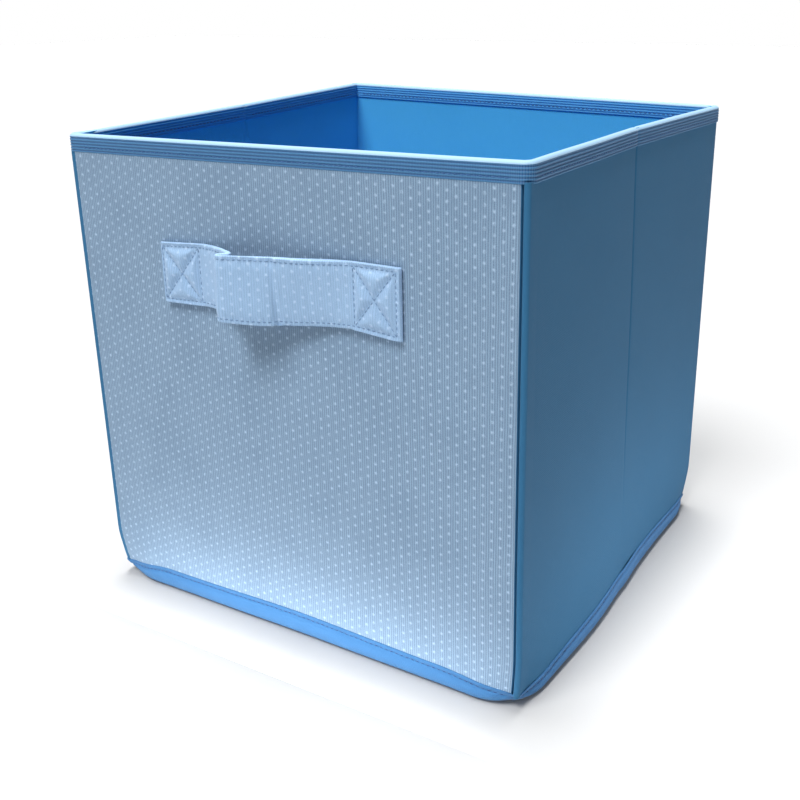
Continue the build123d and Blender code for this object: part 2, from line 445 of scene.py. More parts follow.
# the third colour is the weft's and the fold's painted highlight, the last the painted light on the inside
# leg
TAPE_CLOTH = binding("tape_cloth", (58, 116, 162), (36, 84, 132), (168, 200, 224), (72, 158, 222))
BLUE_THREAD = spun("blue_thread", (58, 112, 172), (30, 74, 128))
DARK_THREAD = spun("dark_thread", (40, 88, 148), (20, 54, 104))
PALE_THREAD = spun("pale_thread", (124, 156, 192), (84, 114, 152))
BOARD = pressed_board("grey_board", (150, 138, 122), (118, 106, 92))

# ---------------------------------------------------------------- the seam round the foot

# the seam's height round the bin, by place: 0 to 1 along the front, then right, back and left
SEAM_ROUND = (
    (0.0, 8.5), (0.02, 10.5), (0.15, 14.6), (0.5, 16.0), (0.83, 13.8), (0.98, 10.4), (1.0, 9.0),
    (1.03, 9.4), (1.3, 13.5), (1.6, 15.2), (1.93, 13.0), (2.0, 8.5),
    (2.07, 12.0), (2.5, 15.0), (2.93, 12.0), (3.0, 8.5),
    (3.07, 12.0), (3.5, 15.0), (3.93, 12.0), (4.0, 8.5))


def round_place(x, y):
    """How far round the bin a place is, from 0 to 4."""
    a, b = x / COVER_X, y / COVER_Y
    front_or_back = np.abs(b) >= np.abs(a)
    along_x = np.where(b < 0, (np.clip(a, -1, 1) + 1) / 2, 2 + (1 - np.clip(a, -1, 1)) / 2)
    along_y = np.where(a > 0, 1 + (np.clip(b, -1, 1) + 1) / 2, 3 + (1 - np.clip(b, -1, 1)) / 2)
    return np.where(front_or_back, along_x, along_y)


def seam_height(x, y):
    place = round_place(x, y)
    stops, heights = np.array(SEAM_ROUND).T
    k = np.clip(np.searchsorted(stops, place, side="right") - 1, 0, len(stops) - 2)
    t = (place - stops[k]) / (stops[k + 1] - stops[k])
    t = t * t * (3 - 2 * t)
    return heights[k] * (1 - t) + heights[k + 1] * t


# ---------------------------------------------------------------- walls

# rows up a wall, closer together at the foot and under the rim
ROWS = np.concatenate([np.linspace(0, 36, 10), np.linspace(36, 262, 48)[1:], np.linspace(262, 280, 6)[1:]])
ROWS = ROWS / ROWS[-1]


def keep(obj, nodes=()):
    if nodes:
        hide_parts(*nodes)
    return obj


def wall_cloth(name, line, material, nodes, top, foot, proud=None):
    """A skin on a wall, along a plan line of its outer face. proud moves points out, by length and height."""
    points, normals, length = line
    base = foot(points[:, 0], points[:, 1]) if callable(foot) else np.full(len(points), float(foot))
    z = base[:, None] + (top - base)[:, None] * ROWS[None, :]
    plan, out, along = (spread(values, len(ROWS)) for values in (points, normals, length))
    if proud is not None:
        plan = plan + out * proud(along, z)[..., None]
    sides = settled(raised(plan, z)), settled(raised(plan - out * CLOTH, z))
    return keep(cloth_mesh(name, *sides, np.stack([along, z], axis=2), material), nodes)


def under_band(x, y):
    return seam_height(x, y) - 1.6


CREASE_HALF = 2.0            # the rear halves' cloth starts this far in front of the crease
HINGE_HALF = 0.1             # and FOLDS lists this much either side of it, though nothing here bends the cloth by it
PIECE_END = CREASE - CREASE_HALF
BACK_FOLD = BACK_PIVOT[1]
BACK_CORNER = COVER_X - BACK_PIVOT[0]
CORNER_START = 126.0         # the back left corner's cloth bends from here
WRAP_START = CORNER_START - 4
TUCK = 0.45                  # the back's cloth lies this far inside the right rear's


def cover(wall, line, nodes, top=BOARD_TOP, proud=None):
    return wall_cloth(f"{wall}_cover_cloth", line, COVER_CLOTH, nodes, top, under_band, proud)


front_cover = cover("front", rounded_line([(-130, -COVER_Y, 0), (130, -COVER_Y, 0)]), ["front_cover"])
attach(front_cover, "front_wall")

ROLL_TOP = BOARD_TOP - 8.5
STRIP = PANEL_RIGHT - 1.6    # the dotted cloth's right edge, beside the cover's roll

# the cover's corners stand out as a soft roll beside the dotted panel, with a narrow gap on the right
right_roll = rounded_line([
    (130, -COVER_Y, 0), (STRIP + 0.1, -COVER_Y, 0.2), (STRIP + 0.5, -COVER_Y + 1.5, 0.3),
    (STRIP + 1.1, -COVER_Y + 1.5, 0.3), (STRIP + 1.5, -COVER_Y - 0.9, 0.7),
    (COVER_X + 0.5, -COVER_Y - 0.7, 1.9), (COVER_X, -125, 1.0), (COVER_X, PIECE_END, 0)])
left_roll = rounded_line([
    (-COVER_X, PIECE_END, 0), (-COVER_X, -120, 1.0), (-COVER_X - 2.6, -COVER_Y - 0.4, 1.7),
    (PANEL_LEFT - 0.5, -COVER_Y - 0.2, 0.4), (PANEL_LEFT + 0.5, -COVER_Y, 0.4), (-130, -COVER_Y, 0)])

right_front_cover = cover("right_front", right_roll, ["right_front_cover", "front_right_seam"], ROLL_TOP)
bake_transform(right_front_cover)

CREASE_STOPS = (-2.0, -1.2, -0.8, -0.4, -0.15, 0.15, 0.4, 0.8, 1.2, 2.0)


def crease_groove(depth, width):
    """The folded line down a side wall, for a piece whose crease is at a given running length."""
    def at(place):
        return lambda length, z: -depth * ease(z, 20, 190) * bell(length, place, width)
    return at


outer_groove = crease_groove(0.75, 0.8)
right_rear_cover = cover(
    "right_rear",
    rounded_line([(COVER_X, CREASE + stop, 0) for stop in CREASE_STOPS]
                 + [(COVER_X, COVER_Y, BACK_CORNER), (BACK_PIVOT[0], COVER_Y, 0)]),
    ["right_rear_cover"], proud=outer_groove(CREASE_HALF))
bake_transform(right_rear_cover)

back_cover = cover(
    "back",
    rounded_line([
        (COVER_X - TUCK, BACK_FOLD - 0.5, 0), (COVER_X - TUCK, COVER_Y - TUCK, BACK_CORNER - TUCK),
        (134.5, COVER_Y - TUCK, 0.5), (133.2, COVER_Y, 0.5), (-COVER_X, COVER_Y, BACK_CORNER),
        (-COVER_X, WRAP_START, 0)]),
    ["back_cover", "back_left_seam", "back_right_seam"])
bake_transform(back_cover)

left_rear_cover = cover(
    "left_rear",
    rounded_line([(-COVER_X, WRAP_START, 0)] + [(-COVER_X, CREASE - stop, 0) for stop in CREASE_STOPS]),
    ["left_rear_cover"], proud=outer_groove(WRAP_START - CREASE))
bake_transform(left_rear_cover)

left_front_cover = cover("left_front", left_roll, ["left_front_cover", "front_left_seam"], ROLL_TOP)
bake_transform(left_front_cover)

# the linings, whose inner face is what shows
LINED_X = MID_X - LINING_IN + CLOTH
LINED_Y = MID_Y - LINING_IN + CLOTH
LINING_FOOT = 4.3
INSIDE_ROUND = CLOTH + 0.7
LINED_WRAP = 124             # the back's lining reaches round to here on the left
LINING_STOPS = (-6.0, -4.5, -3.0, -2.0, -1.2, -0.6, -0.15, 0.15, 0.6, 1.2, 2.0, 3.0, 4.5, 6.0)

lining_lines = {
    "front": [(-132, -LINED_Y, 0), (132, -LINED_Y, 0)],
    "right_front": [(132, -LINED_Y, 0), (LINED_X, -LINED_Y, INSIDE_ROUND), (LINED_X, CREASE - 6, 0)],
    "right_rear": [(LINED_X, CREASE + stop, 0) for stop in LINING_STOPS] + [(LINED_X, LINED_Y - 0.6, 0)],
    "back": [(LINED_X - 0.6, LINED_Y, 0), (-LINED_X, LINED_Y, INSIDE_ROUND), (-LINED_X, LINED_WRAP, 0)],
    "left_rear": [(-LINED_X, LINED_WRAP, 0)] + [(-LINED_X, CREASE - stop, 0) for stop in LINING_STOPS],
    "left_front": [(-LINED_X, CREASE - 6, 0), (-LINED_X, -LINED_Y, INSIDE_ROUND), (-132, -LINED_Y, 0)],
}
FOLDS = {
    "right_front": ("front_wall", "right_front", (135.0, -LINED_Y), (LINED_X, -127.0)),
    "left_front": ("front_wall", "left_front", (-135.0, -LINED_Y), (-LINED_X, -127.0)),
    "right_rear": ("right_front", "right_rear",
                   (LINED_X, CREASE - HINGE_HALF), (LINED_X, CREASE + HINGE_HALF)),
    "left_rear": ("left_front", "left_rear",
                  (-LINED_X, CREASE - HINGE_HALF), (-LINED_X, CREASE + HINGE_HALF)),
    "back": ("left_rear", "back_wall", (-LINED_X, 127.5), (-134.0, LINED_Y)),
}
lining_groove = crease_groove(-0.5, 1.1)
lining_creases = {"right_rear": lining_groove(6.0), "left_rear": lining_groove(LINED_WRAP - CREASE)}
for wall, corners in lining_lines.items():
    lining = wall_cloth(f"{wall}_lining_cloth", rounded_line(corners), LINING_CLOTH,
                        [f"{wall}_lining"], BOARD_TOP, LINING_FOOT, proud=lining_creases.get(wall))
    if wall in FOLDS:
        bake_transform(lining)
    else:
        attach(lining, "front_wall")

# the boards between them
BOARD_HALF = 0.92
board_lines = {
    "front": ([(-135, -MID_Y), (135, -MID_Y)], "front_wall"),
    "right_front": ([(MID_X, -127.4), (MID_X, CREASE - 3)], "right_front"),
    "right_rear": ([(MID_X, CREASE + 3), (MID_X, 129.8)], "right_rear"),
    "back": ([(135.6, MID_Y), (-135.6, MID_Y)], "back_wall"),
    "left_rear": ([(-MID_X, 129.8), (-MID_X, CREASE + 3)], "left_rear"),
    "left_front": ([(-MID_X, CREASE - 3), (-MID_X, -127.4)], "left_front"),
}
for wall, (ends, body) in board_lines.items():
    points, normals, length = rounded_line([(*end, 0) for end in ends], step=8)
    z = np.linspace(BOARD_FOOT, BOARD_TOP - 0.4, 34)
    plan, out, along = (spread(values, len(z)) for values in (points, normals * BOARD_HALF, length))
    uv = raised(along[..., None], z[None])
    board = cloth_mesh(f"{wall}_board_core", settled(raised(plan + out, z[None])),
                       settled(raised(plan - out, z[None])), uv, BOARD)
    keep(board, [f"{wall}_board"])
    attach(board, body)

# the dotted panel
panel_points, panel_normals, panel_length = rounded_line(
    [(PANEL_LEFT - 0.9, PANEL_FACE, 0), (STRIP - 0.2, PANEL_FACE, 0)], step=3.5)


def panel_edge(length, z):
    """The panel's side edges are folded under, so they stand a little prouder and turn in at the end."""
    from_edge = np.minimum(length, panel_length[-1] - length)
    return 0.35 * bell(from_edge, 1.6, 1.6) - 0.35 * bell(from_edge, 0, 0.5)


dotted_panel = wall_cloth(
    "front_dotted_cloth", (panel_points, panel_normals, panel_length), DOTTED_CLOTH,
    ["front_dotted_panel"], TAPE_LOW + 1.2, lambda x, y: seam_height(x, y) - 2.0, proud=panel_edge)
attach(dotted_panel, "front_wall")

# ---------------------------------------------------------------- rim tape

TAPE_OUT = 2.15              # the tape's faces stand this far off the wall's middle
TAPE_THICK = 0.6
RIB = 0.17                   # how far its ribs stand proud
RIB_ROWS = 7
TOP_ROUND = 2.0


def tape_section(tuck=0.0):
    """The binding's section: out, height, and the direction its face looks, from outer edge to inner edge."""
    leg_top = HEIGHT - TOP_ROUND - tuck
    z = np.linspace(TAPE_LOW, leg_top, 1 + RIB_ROWS * 5)
    rib = RIB * np.cos((HEIGHT - z) * 2 * math.pi / RIB_PITCH)
    edge = -0.3 * bell(z, TAPE_LOW, 0.35)
    outer = [(TAPE_OUT - tuck + r + e, h, 1.0, 0.0) for h, r, e in zip(z, rib, edge)]
    arc = np.linspace(0, math.pi, 13)[1:-1]
    reach = TAPE_OUT - tuck
    top = [(reach * math.cos(a), leg_top + TOP_ROUND * math.sin(a), math.cos(a), math.sin(a)) for a in arc]
    inner = [(-out, h, -1.0, 0.0) for out, h, _, _ in reversed(outer)]
    return np.array(outer + top + inner)


def tape_piece(name, corners, nodes, tuck=None, step=4.0):
    points, normals, length = rounded_line(corners, step)
    plain = tape_section()
    tucked = tape_section(TUCK)
    share = np.zeros(len(points)) if tuck is None else tuck(points)
    section = plain[None] * (1 - share)[:, None, None] + tucked[None] * share[:, None, None]

    def surface(inset):
        out = section[..., 0] - section[..., 2] * inset
        rise = section[..., 1] - section[..., 3] * inset
        return settled(raised(points[:, None, :] + normals[:, None, :] * out[..., None], rise))

    # across the tape, v is 0 over the rim and runs down to plus outside and to minus inside
    across = HEIGHT - plain[:, 1]
    inside, over = plain[:, 2] < -0.99, plain[:, 3] > 0.01
    v = np.where(over, 0.0, np.where(inside, -across, across))
    uv = raised(spread(length, len(v))[..., None], v[None])
    tape = cloth_mesh(name, surface(0.0), surface(TAPE_THICK), uv, TAPE_CLOTH, crisp=60)
    return keep(tape, nodes)


FRONT_TAPE_ROUND = 3.8
TAPE_STOPS = (-4.0, -2.6, -1.6, -0.8, -0.15, 0.15, 0.8, 1.6, 2.6, 4.0)


def pinched(plan):
    """The binding is drawn thinner where it folds at the crease."""
    return 0.9 * bell(plan[:, 1], CREASE, 1.6)


BACK_TAPE_ROUND = MID_X - BACK_PIVOT[0]
front_tape = tape_piece("front_rim_binding", [(-130, -MID_Y, 0), (130, -MID_Y, 0)], ["front_rim_tape"])
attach(front_tape, "front_wall")
right_front_tape = tape_piece(
    "right_front_rim_binding",
    [(130, -MID_Y, 0), (MID_X, -MID_Y, FRONT_TAPE_ROUND), (MID_X, CREASE - 4, 0)], ["right_front_rim_tape"])
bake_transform(right_front_tape)
right_rear_tape = tape_piece(
    "right_rear_rim_binding",
    [(MID_X, CREASE + stop, 0) for stop in TAPE_STOPS]
    + [(MID_X, MID_Y, BACK_TAPE_ROUND), (BACK_PIVOT[0], MID_Y, 0)],
    ["right_rear_rim_tape"], tuck=pinched)
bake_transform(right_rear_tape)
back_tape = tape_piece(
    "back_rim_binding",
    [(MID_X, BACK_FOLD, 0), (MID_X, MID_Y, BACK_TAPE_ROUND), (-MID_X, MID_Y, BACK_TAPE_ROUND),
     (-MID_X, WRAP_START, 0)],
    ["back_rim_tape"], tuck=lambda p: ease(p[:, 0], 132.5, 134.5))
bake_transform(back_tape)
left_rear_tape = tape_piece(
    "left_rear_rim_binding",
    [(-MID_X, WRAP_START, 0)] + [(-MID_X, CREASE - stop, 0) for stop in TAPE_STOPS],
    ["left_rear_rim_tape"], tuck=pinched)
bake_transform(left_rear_tape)
left_front_tape = tape_piece(
    "left_front_rim_binding",
    [(-MID_X, CREASE - 4, 0), (-MID_X, -118, 1.0), (-MID_X - 3.0, -MID_Y, 2.3), (-130, -MID_Y, 0)],
    ["left_front_rim_tape"])
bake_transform(left_front_tape)

# ---------------------------------------------------------------- stitches

STITCH_RINGS = ((0.0, 0.0), (0.14, 0.8), (0.5, 1.0), (0.86, 0.8), (1.0, 0.0))    # place along it, girth
STITCH_SIDES = 6
STITCH_SINK = 0.35           # how far its ends dip into the cloth


def sewn(name, runs, material, pitch, length, radius):
    """Stitches along runs of (points, outward directions): short plump threads that dip at their ends."""
    vertices, faces, uvs = [], [], []
    n = STITCH_SIDES
    for points, outward in runs:
        distance = running(points)
        count = int((distance[-1] - length) // pitch) + 1
        if count < 1:
            continue
        spare = (distance[-1] - (count - 1) * pitch - length) / 2
        for k in range(count):
            start = spare + k * pitch
            places = start + np.array([t for t, _ in STITCH_RINGS]) * length
            centre = np.stack([np.interp(places, distance, points[:, a]) for a in range(3)], axis=1)
            out = np.array([np.interp(start + length / 2, distance, outward[:, a]) for a in range(3)])
            out /= np.linalg.norm(out)
            along = centre[-1] - centre[0]
            along /= np.linalg.norm(along)
            side = np.cross(out, along)
            first = len(vertices)
            for (t, girth), c in zip(STITCH_RINGS, centre):
                lift = radius * 0.45 - STITCH_SINK * (2 * t - 1) ** 4
                c = c + out * lift
                if girth == 0:
                    vertices.append(c)
                    uvs.append((t * length, 0))
                    continue
                for j in range(n):
                    angle = 2 * math.pi * j / n
                    vertices.append(c + radius * girth * (side * math.cos(angle) + out * math.sin(angle)))
                    uvs.append((t * length, radius * angle))
            last = first + 1 + 3 * n
            for j in range(n):
                j2 = (j + 1) % n
                faces.append((first, first + 1 + j2, first + 1 + j))
                for ring in range(2):
                    a, b = first + 1 + ring * n, first + 1 + (ring + 1) * n
                    faces.append((a + j, a + j2, b + j2, b + j))
                faces.append((last, last - n + j, last - n + j2))
    return new_mesh(name, np.array(vertices), faces, np.array(uvs), material, crisp=80)


def wall_run(ends, out, z, inside=False):
    """A level run along a wall's middle line, moved out by its face."""
    points, normals, _ = rounded_line([(*end, 0) for end in ends])
    facing = -normals if inside else normals
    return settled(raised(points + facing * out, z)), raised(facing, 0.0)


TAPE_SEAM = TAPE_LOW + 2.6
tape_runs = {
    "front_wall": [(-131, -MID_Y), (131, -MID_Y)],
    "right_front": [(MID_X, -125), (MID_X, CREASE - 5)],
    "right_rear": [(MID_X, CREASE + 5), (MID_X, 129)],
    "back_wall": [(131, MID_Y), (-131, MID_Y)],
    "left_rear": [(-MID_X, 125), (-MID_X, CREASE + 5)],
    "left_front": [(-MID_X, CREASE - 5), (-MID_X, -125)],
}
for body, line in tape_runs.items():
    runs = [wall_run(line, TAPE_OUT, TAPE_SEAM, inside) for inside in (False, True)]
    seam = keep(sewn(f"{body}_rim_stitches", runs, BLUE_THREAD, 3.1, 2.3, 0.24))
    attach(seam, body)

# ---------------------------------------------------------------- the tray at the foot

SIDE_STEPS = 64
CORNER_STEPS = 14


def tray_ring(out, radius):
    """One level line of the tray: its points and outward directions, with the same count at every level."""
    reach = np.array([MID_X + out - radius, MID_Y + out - radius])
    corners = [np.array(sides) for sides in ((1, -1), (1, 1), (-1, 1), (-1, -1))]
    points, normals = [], []
    for quarter, corner in enumerate(corners):
        centre, next_centre = reach * corner, reach * corners[(quarter + 1) % 4]
        for k in range(CORNER_STEPS + 1):
            angle = math.radians(90 * (quarter - 1) + 90 * k / CORNER_STEPS)
            spoke = np.array([math.cos(angle), math.sin(angle)])
            points.append(centre + spoke * radius)
            normals.append(spoke)
        start, end = centre + spoke * radius, next_centre + spoke * radius
        for k in range(1, SIDE_STEPS):
            points.append(start + (end - start) * k / SIDE_STEPS)
            normals.append(spoke)
    return np.array(points), np.array(normals)


# down the tray's outside: how far out, the share of the seam's height, a drop below it, the corner's radius
TRAY_PROFILE = (
    (2.05, 1.0, 0.0, 3.6), (2.3, 1.0, 0.25, 3.9), (2.3, 1.0, 1.2, 4.8), (2.1, 1.0, 2.2, 5.8),
    (1.75, 1.0, 2.7, 6.6), (1.8, 1.0, 3.1, 7.4), (2.3, 1.0, 3.8, 9.2), (2.7, 0.9, 4.0, 11.5),
    (2.8, 0.72, 3.5, 14.0), (2.5, 0.5, 2.4, 16.5), (1.9, 0.3, 1.3, 18.5), (1.0, 0.15, 0.6, 20.5),
    (-0.4, 0.06, 0.2, 22.0), (-2.0, 0.02, 0.0, 23.0), (-4.0, 0.0, 0.0, 23.0))
FLOOR_SHARES = (0.93, 0.85, 0.72, 0.55, 0.36, 0.16, 0.04, 0.003)
TRAY_CLOTH_THICK = 0.5

LAP = 0.55                   # how far the cloth's lapped end stands out
PUCKER, PUCKER_PITCH = 0.16, 6.4
ROLL_REACH, ROLL_WIDTH = 3.4, 14

tray_outer, tray_inner, tray_uv = [], [], []
around = running(tray_ring(2.0, 8.0)[0])
down = 0.0
previous = None
for out, share, drop, radius in TRAY_PROFILE:
    points, normals = tray_ring(out, radius)
    # the cloth's two ends lap here, on the right side
    lap = LAP * ease(points[:, 1], -0.4, 0.4) * (1 - ease(points[:, 1], 8, 34)) * (points[:, 0] > 100)
    pucker = PUCKER * np.sin(around * 2 * math.pi / PUCKER_PITCH) * bell(drop, 3.2, 1.6) * share
    points = points + normals * (lap + pucker)[:, None]
    # at the front left corner the tray reaches round the cover's soft roll
    at_roll = ease(-points[:, 0], 118, 137) * bell(points[:, 1], -COVER_Y, ROLL_WIDTH)
    points[:, 0] -= ROLL_REACH * share ** 0.35 * at_roll
    level = raised(points, np.maximum(seam_height(points[:, 0], points[:, 1]) * share - drop, 0))
    if previous is not None:
        down += float(np.linalg.norm(level[200] - previous[200]))
    previous = level
    tray_outer.append(level)
    # the thickness lies sideways on the turned-up edge, and upwards under the floor
    lean = min(1.0, max(0.0, (out + 4.5) / 6))
    inward = raised(normals, 0.0) * TRAY_CLOTH_THICK * lean
    inward[:, 2] = -TRAY_CLOTH_THICK * (1 - lean)
    tray_inner.append(level - inward)
    tray_uv.append(np.stack([around, np.full(len(around), -down)], axis=1))
floor_line = tray_outer[-1]
for share in FLOOR_SHARES:
    level = floor_line * (share, share, 1)
    tray_outer.append(level)
    tray_inner.append(level + (0, 0, TRAY_CLOTH_THICK))
    tray_uv.append(level[:, :2])
# the sheet's rows run upwards, as on the walls
tray_outer, tray_inner, tray_uv = (np.stack(rows[::-1], axis=1) for rows in (tray_outer, tray_inner, tray_uv))
tray = cloth_mesh("foot_tray_cloth", settled(tray_outer), settled(tray_inner), tray_uv, TRAY_CLOTH, ring=True)
keep(tray, ["bottom_panel", "bottom_band", "bottom_band_join"])
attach(tray, "front_wall")


def tray_run(out, drop, radius):
    """A line all round the tray, a drop below its top edge."""
    points, normals = (np.concatenate([ring, ring[:1]]) for ring in tray_ring(out, radius))
    return settled(raised(points, seam_height(points[:, 0], points[:, 1]) - drop)), raised(normals, 0.0)


tray_seam = sewn("foot_seam_stitches", [tray_run(1.85, 2.85, 6.8)], DARK_THREAD, 3.3, 2.4, 0.26)
keep(tray_seam)
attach(tray_seam, "front_wall")
for piece in (tray, tray_seam):
    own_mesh(piece)

# ---------------------------------------------------------------- the base panel

BASE_LOW = low("base_cover_under")
BASE_HIGH = high("base_cover_top")
BASE_MIDDLE = (BASE_LOW + BASE_HIGH) / 2
BASE_HALF = (BASE_HIGH - BASE_LOW) / 2
BASE_ROUND = 26.0
BASE_SEAM_IN = 4.5           # the sleeve's seam runs this far inside its edge
BASE_SEAM_DIP = 0.35


def spaced(half):
    """Places across the sleeve, closer together at its edges."""
    edge = np.array([0, 0.15, 0.5, 1.0, 1.6, 2.6, 4.2, 6.0])
    inner = np.linspace(half - 8, -(half - 8), 56)
    return np.concatenate([-(half - edge), -inner, (half - edge)[::-1]])


gx, gy = np.meshgrid(spaced(BASE_HALF[0]), spaced(BASE_HALF[1]), indexing="ij")
corner_x = np.clip(np.abs(gx) - (BASE_HALF[0] - BASE_ROUND), 0, None)
corner_y = np.clip(np.abs(gy) - (BASE_HALF[1] - BASE_ROUND), 0, None)
reach = np.hypot(corner_x, corner_y)
shrink = np.where(reach > 0, np.maximum(corner_x, corner_y) / np.maximum(reach, 1e-9), 1.0)
to_edge = np.minimum(BASE_HALF[0] - np.abs(gx), BASE_HALF[1] - np.abs(gy))
in_corner = (corner_x > 0) & (corner_y > 0)
gx = np.where(in_corner, np.sign(gx) * (BASE_HALF[0] - BASE_ROUND + corner_x * shrink), gx)
gy = np.where(in_corner, np.sign(gy) * (BASE_HALF[1] - BASE_ROUND + corner_y * shrink), gy)
belly = rounding(to_edge / 1.5)
sewn_in = BASE_SEAM_DIP * bell(to_edge, BASE_SEAM_IN, 0.8)
loose = 0.08 * swell(gx, gy, 2.2) * ease(to_edge, 5, 20)
half_thick = np.maximum(BASE_HALF[2] * belly, 0.12)
# thinner near its hinge, where it lifts against the front lining
near_hinge = 0.25 * ease(-gy, 40, 120)
base_plan = np.stack([gx, gy + BASE_MIDDLE[1]], axis=2)
top = raised(base_plan, BASE_MIDDLE[2] + half_thick - 0.12 - near_hinge * belly - sewn_in * belly + loose)
under = raised(base_plan, BASE_MIDDLE[2] - half_thick)
base_sleeve = cloth_mesh("base_sleeve_cloth", top, under, np.stack([gx, gy], axis=2), BASE_CLOTH)
keep(base_sleeve, ["base_cover_top", "base_cover_under"])
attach(base_sleeve, "base")


half_x, half_y = BASE_HALF[:2] - BASE_SEAM_IN
base_line = rounded_line([
    (0, -half_y, 0), (half_x, -half_y, 21), (half_x, half_y, 21), (-half_x, half_y, 21),
    (-half_x, -half_y, 21), (0, -half_y, 0)])[0] + (0, BASE_MIDDLE[1])
base_run = raised(base_line, BASE_HIGH[2] - BASE_SEAM_DIP), raised(0 * base_line, 1.0)
base_seam = keep(sewn("base_sleeve_stitches", [base_run], BLUE_THREAD, 3.4, 2.5, 0.24))
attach(base_seam, "base")
for material_slot in frame["nodes"]["base_board"].material_slots:
    material_slot.material = BOARD

# ---------------------------------------------------------------- the handle

# the strap's middle line in plan: x, and how far it stands off the front
HANDLE_LINE = (
    (-77.4, 1.2), (-63, 1.35), (-49, 1.5), (-41, 2.6), (-33, 5.2), (-26, 8.6), (-21.2, 11.0), (-19.7, 12.6),
    (-20.6, 14.4), (-22.7, 16.2), (-23.2, 18.0), (-21.3, 19.0), (-15, 17.4), (-6, 14.4), (3, 11.3), (9, 9.3),
    (15, 7.9), (25, 5.3), (36, 2.9), (47, 1.6), (61, 1.35), (75.4, 1.2))
# its lower and upper edges: x and height
HANDLE_FOOT = ((-78, 191.6), (-48, 192.7), (-23, 192.6), (0, 191.6), (47, 193.6), (58, 192.6), (76, 191.0))
HANDLE_HEAD = ((-78, 225.0), (-48, 226.8), (-23, 227.4), (20, 227.2), (48, 227.9), (76, 227.5))
NOSE = 8                     # the point of HANDLE_LINE where the strap's two halves meet
STRAP_MIDDLE = 209           # height of the middle of the strap
HEM = 2.1                    # from the strap's edge to its stitches


def smooth_line(controls, step):
    """A smooth line through control points, by their chord lengths."""
    p = np.array(controls, float)
    p = np.concatenate([[2 * p[0] - p[1]], p, [2 * p[-1] - p[-2]]])   # the line runs on past both ends
    knots = np.concatenate([[0], np.cumsum(np.sqrt(np.linalg.norm(np.diff(p, axis=0), axis=1)))])
    line, marks = [], []
    for i in range(1, len(p) - 2):
        t0, t1, t2, t3 = knots[i - 1:i + 3]
        count = max(2, math.ceil(np.linalg.norm(p[i + 1] - p[i]) / step))
        marks.append(len(line))
        for k in range(count):
            t = t1 + (t2 - t1) * k / count
            a1 = (t1 - t) / (t1 - t0) * p[i - 1] + (t - t0) / (t1 - t0) * p[i]
            a2 = (t2 - t) / (t2 - t1) * p[i] + (t - t1) / (t2 - t1) * p[i + 1]
            a3 = (t3 - t) / (t3 - t2) * p[i + 1] + (t - t2) / (t3 - t2) * p[i + 2]
            b1 = (t2 - t) / (t2 - t0) * a1 + (t - t0) / (t2 - t0) * a2
            b2 = (t3 - t) / (t3 - t1) * a2 + (t - t1) / (t3 - t1) * a3
            line.append((t2 - t) / (t2 - t1) * b1 + (t - t1) / (t2 - t1) * b2)
    line.append(p[-2])
    return np.array(line), marks


handle_plan, handle_marks = smooth_line(HANDLE_LINE, 0.7)
handle_plan = np.stack([handle_plan[:, 0], PANEL_FACE - 0.1 - handle_plan[:, 1]], axis=1)
handle_turn = np.gradient(handle_plan, axis=0)
handle_turn /= np.linalg.norm(handle_turn, axis=1)[:, None]
handle_out = np.stack([handle_turn[:, 1], -handle_turn[:, 0]], axis=1)
handle_run = running(handle_plan)
handle_x = handle_plan[:, 0]
CUT = handle_marks[NOSE]
CUT_RUN = handle_run[CUT]


def run_at(x, left):
    """The length along the strap at x, on the part left of its wave or right of it."""
    part = slice(0, handle_marks[5]) if left else slice(handle_marks[12], len(handle_x))
    return float(np.interp(x, handle_x[part], handle_run[part]))


CREASED_AT = run_at(6.3, False)
BOX_LEFT = (run_at(-75.6, True), run_at(-49.5, True))
BOX_RIGHT = (run_at(48.6, False), run_at(72.8, False))
foot_z = np.interp(handle_x, *np.array(HANDLE_FOOT).T)
head_z = np.interp(handle_x, *np.array(HANDLE_HEAD).T)
for _ in range(12):
    foot_z[1:-1] = (foot_z[:-2] + 2 * foot_z[1:-1] + foot_z[2:]) / 4
    head_z[1:-1] = (head_z[:-2] + 2 * head_z[1:-1] + head_z[2:]) / 4

EDGE_ROUND = 1.1
# rows across the strap, closer together at its edges
ACROSS = np.concatenate([[0, 0.25, 0.7, 1.3], np.linspace(2.1, 33.0, 38), [33.8, 34.4, 34.8, 35.1]]) / 35.1


def to_segment(s, z, a, b):
    """Distance on the strap to a straight line of stitches."""
    a, b = np.array(a, float), np.array(b, float)
    d = b - a
    t = np.clip(((s - a[0]) * d[0] + (z - a[1]) * d[1]) / (d @ d), 0, 1)
    return np.hypot(s - a[0] - t * d[0], z - a[1] - t * d[1])


def box_lines(box):
    """The two upright and two crossed lines of stitches on a sewn end."""
    s0, s1 = box
    f0, f1 = np.interp(box, handle_run, foot_z) + HEM
    h0, h1 = np.interp(box, handle_run, head_z) - HEM
    return [((s0, f0), (s0, h0)), ((s1, f1), (s1, h1)), ((s0, f0), (s1, h1)), ((s0, h0), (s1, f1))]


